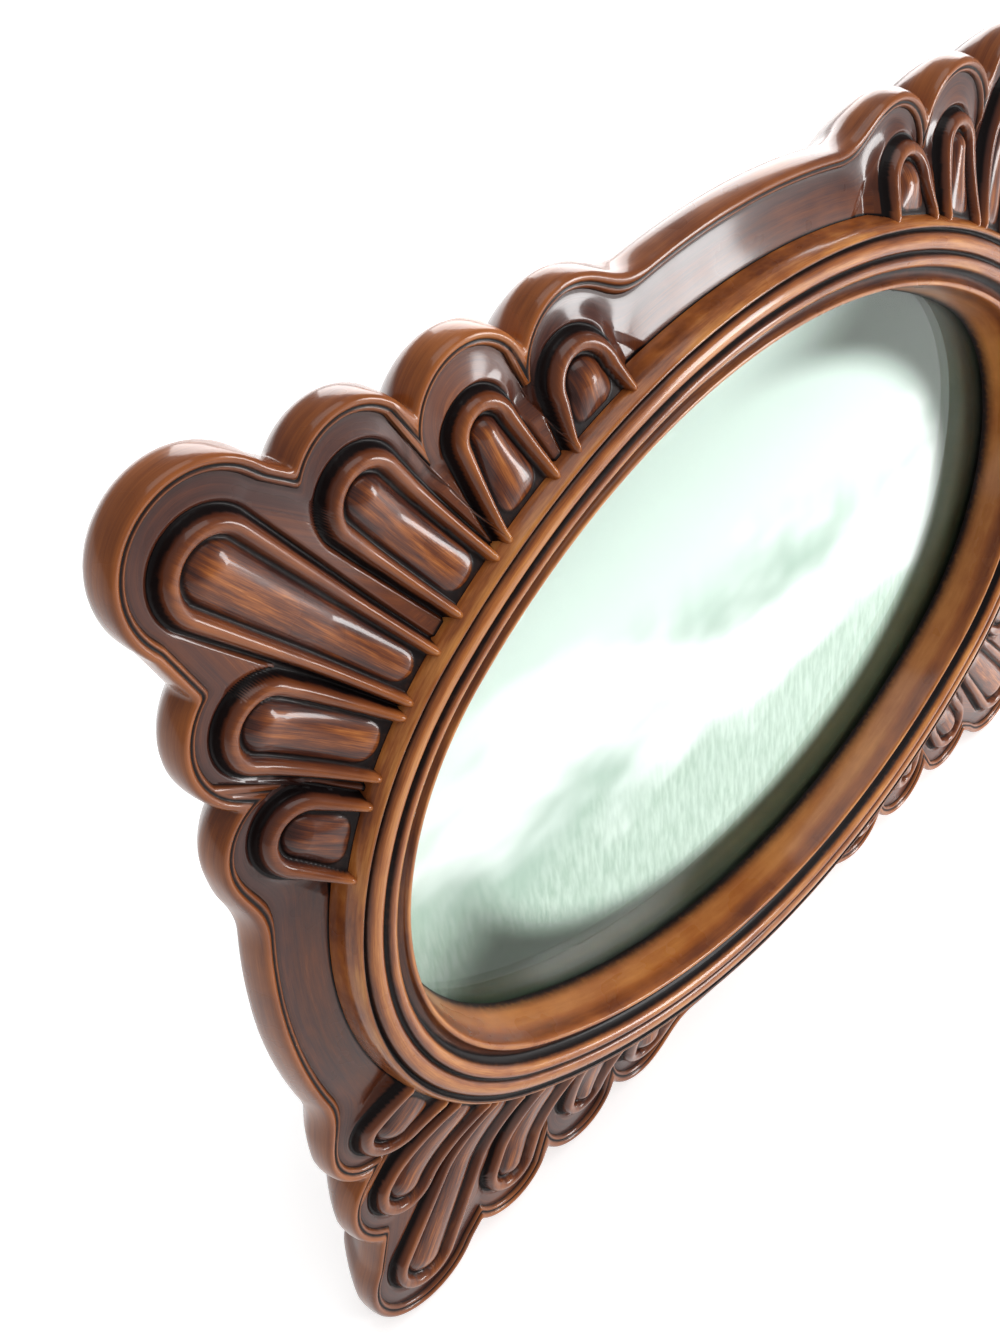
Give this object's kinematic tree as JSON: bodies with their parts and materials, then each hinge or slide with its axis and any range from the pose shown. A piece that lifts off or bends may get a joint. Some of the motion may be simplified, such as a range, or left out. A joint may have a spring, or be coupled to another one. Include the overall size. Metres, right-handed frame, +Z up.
{
  "type": "picture_frame",
  "caption": "Landscape table picture frame with an oval beaded window, a carved shell in each corner, glass, print, back board and a folding easel leg with ribbon stay.",
  "frame": {"origin": "table level, midway across the frame and midway front to back over frame and open leg", "axes": "+X to the right as seen from the front, +Y to the rear, +Z up; the picture faces -Y and leans back 16 degrees"},
  "size_m": [0.2132, 0.0778, 0.1649],
  "materials": {
    "resin": "cast resin, antiqued dark brown with copper rubbed edges and near-black grooves, satin lacquer",
    "glass": "clear float glass",
    "print": "matt photographic paper with a pale meadow picture",
    "card": "plain corrugated card",
    "board": "bare fibre board",
    "flock": "short black flock",
    "steel": "nickel plated",
    "pin_steel": "bright wire",
    "brass": "brass plated",
    "ribbon": "black woven tape"
  },
  "bodies": {
    "frame": {"frame_moulding": "resin", "glass_pane": "glass", "photo_print": "print", "filler_card": "card", "back_board": "board", "back_board_flock": "flock", "hinge_board_leaf": "steel", "hinge_pin": "pin_steel", "hinge_board_rivets": "brass", "ribbon_stay": "ribbon", "ribbon_board_staple": "pin_steel", "turn_button_screws": "brass", "hanger_top": "steel", "hanger_side": "steel", "hanger_nails": "brass"},
    "leg": {"easel_leg": "board", "easel_leg_flock": "flock", "hinge_leg_leaf": "steel", "hinge_leg_rivets": "brass", "ribbon_leg_staple": "pin_steel"},
    "button_top_left": {"turn_button_top_left": "steel"},
    "button_top_right": {"turn_button_top_right": "steel"},
    "button_bottom_left": {"turn_button_bottom_left": "steel"},
    "button_bottom_right": {"turn_button_bottom_right": "steel"}
  },
  "joints": [
    {"name": "leg_fold", "type": "hinge", "parent": "frame", "child": "leg", "pos_m": [0, 0.00838, 0.11599], "axis": [1, 0, 0], "range_deg": [-30, 0], "deforming": ["ribbon_stay"]},
    {"name": "button_top_left_turn", "type": "hinge", "parent": "frame", "child": "button_top_left", "pos_m": [-0.058, 0.01492, 0.14626], "axis": [0, 0.9613, -0.2756], "continuous": true},
    {"name": "button_top_right_turn", "type": "hinge", "parent": "frame", "child": "button_top_right", "pos_m": [0.058, 0.01492, 0.14626], "axis": [0, 0.9613, -0.2756], "continuous": true},
    {"name": "button_bottom_left_turn", "type": "hinge", "parent": "frame", "child": "button_bottom_left", "pos_m": [-0.058, -0.02306, 0.01379], "axis": [0, 0.9613, -0.2756], "continuous": true},
    {"name": "button_bottom_right_turn", "type": "hinge", "parent": "frame", "child": "button_bottom_right", "pos_m": [0.058, -0.02306, 0.01379], "axis": [0, 0.9613, -0.2756], "continuous": true}
  ]
}
